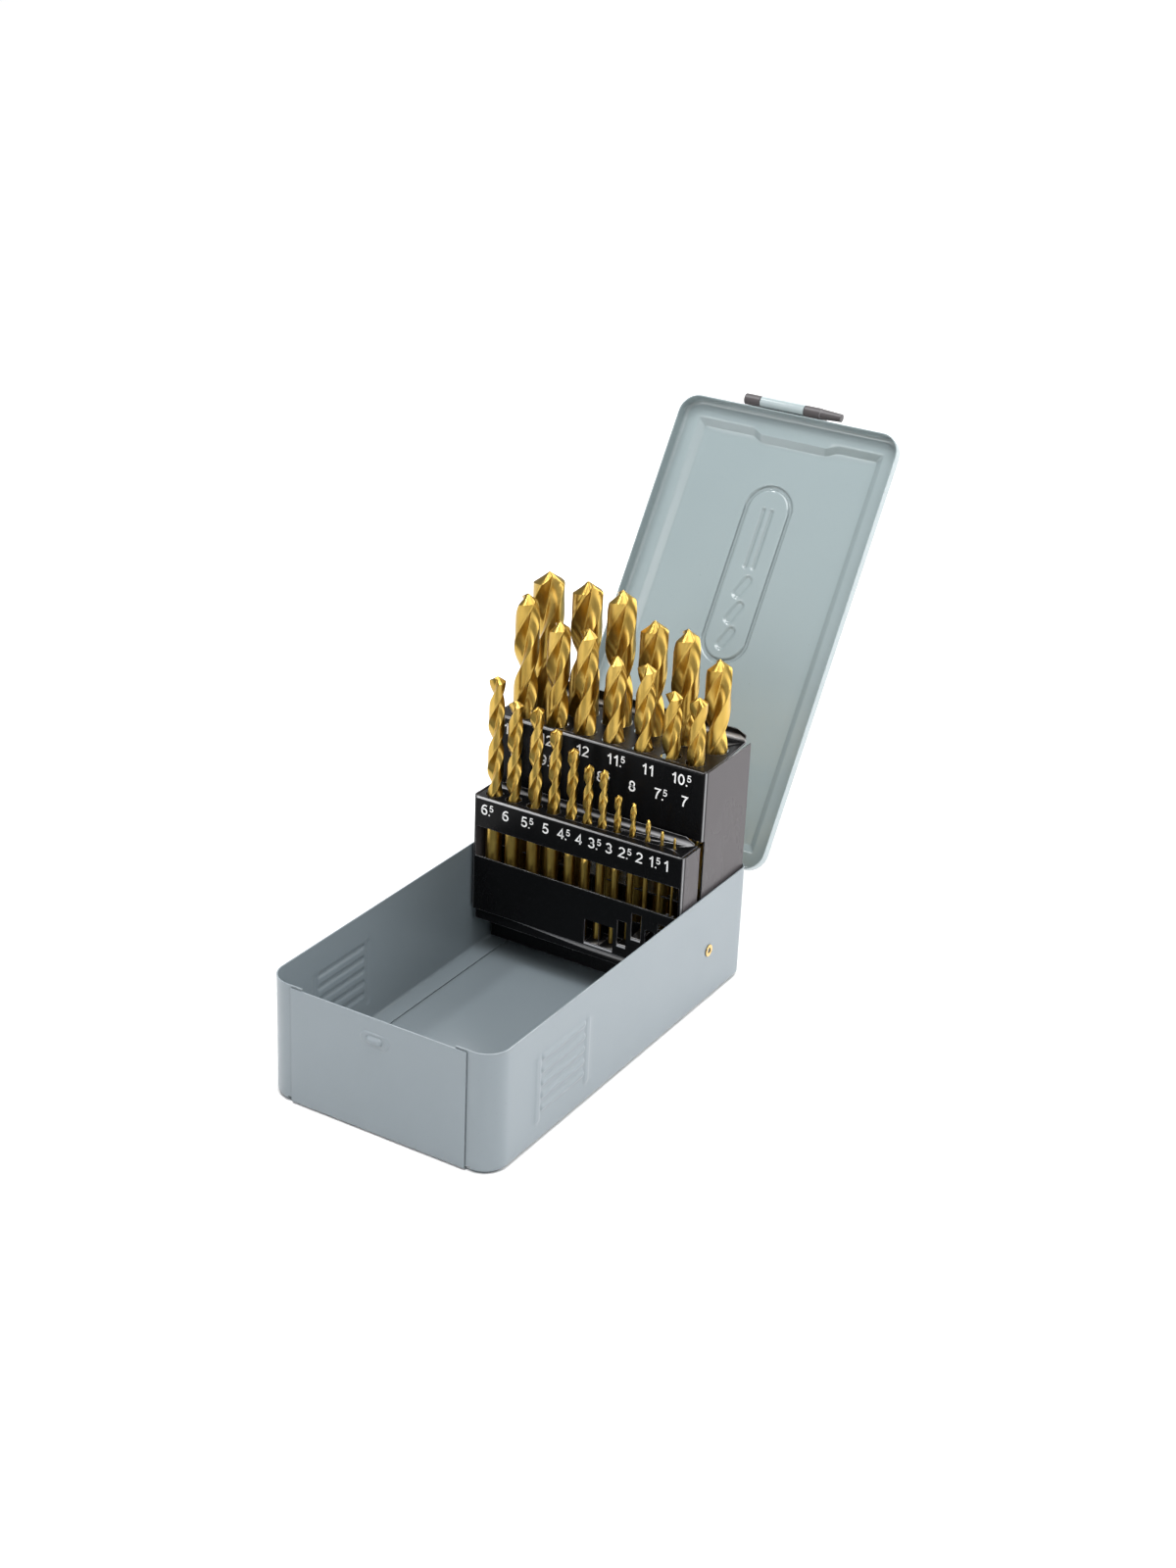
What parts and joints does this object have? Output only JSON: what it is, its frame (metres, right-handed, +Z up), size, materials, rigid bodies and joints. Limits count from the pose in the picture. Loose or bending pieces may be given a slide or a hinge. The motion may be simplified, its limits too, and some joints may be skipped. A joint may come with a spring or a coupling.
{
  "type": "drill bit case",
  "caption": "Sheet metal drill bit case with a hinged lid, an over-the-catch clip and a fold-down stand that holds twist drills in stepped rows.",
  "frame": {"origin": "middle of the base's underside, which the case stands on", "axes": "+X to the right seen from the front, +Y from the front panel to the lid's hinge, +Z up"},
  "size_m": [0.1024, 0.3043, 0.205],
  "materials": {
    "case_paint": "gloss",
    "lid_paint": "gloss",
    "rack_black": "gloss",
    "clip_black": "satin",
    "drill_gold": "gloss",
    "pin_steel": "satin",
    "eyelet_brass": "gloss"
  },
  "bodies": {
    "case": {"base_tray": "case_paint", "side_wall_left": "case_paint", "side_wall_right": "case_paint", "rear_hinge_leaf": "case_paint", "rear_hinge_pin": "pin_steel", "pivot_eyelet_left": "eyelet_brass", "pivot_eyelet_right": "eyelet_brass", "pivot_washer_left": "pin_steel", "pivot_washer_right": "pin_steel"},
    "stand": {"front_rack": "rack_black", "front_rack_floor": "rack_black", "rear_rack": "rack_black", "shank_guide": "rack_black", "shank_tray": "rack_black", "drill_1_0": "drill_gold", "drill_1_5": "drill_gold", "drill_2_0": "drill_gold", "drill_2_5": "drill_gold", "drill_3_0": "drill_gold", "drill_3_5": "drill_gold", "drill_4_0": "drill_gold", "drill_4_5": "drill_gold", "drill_5_0": "drill_gold", "drill_5_5": "drill_gold", "drill_6_0": "drill_gold", "drill_6_5": "drill_gold", "drill_7_0": "drill_gold", "drill_7_5": "drill_gold", "drill_8_0": "drill_gold", "drill_8_5": "drill_gold", "drill_9_0": "drill_gold", "drill_9_5": "drill_gold", "drill_10_0": "drill_gold", "drill_10_5": "drill_gold", "drill_11_0": "drill_gold", "drill_11_5": "drill_gold", "drill_12_0": "drill_gold", "drill_12_5": "drill_gold", "drill_13_0": "drill_gold"},
    "lid": {"lid_shell": "lid_paint"},
    "clip": {"latch_clip": "clip_black", "latch_pin": "pin_steel"}
  },
  "joints": [
    {"name": "stand_fold", "type": "hinge", "parent": "case", "child": "stand", "pos_m": [0, 0.0618, 0.0234], "axis": [1, 0, 0], "range_deg": [0, 90]},
    {"name": "lid_hinge", "type": "hinge", "parent": "case", "child": "lid", "pos_m": [0, 0.096, 0.0431], "axis": [1, 0, 0], "range_deg": [0, 122.9]},
    {"name": "latch_swing", "type": "hinge", "parent": "lid", "child": "clip", "pos_m": [0, 0.20234, 0.20269], "axis": [1, 0, 0], "range_deg": [0, 190]}
  ],
  "couplings": [
    {"joint": "lid_hinge", "follows": "stand_fold", "ratio": 1.3655}
  ]
}
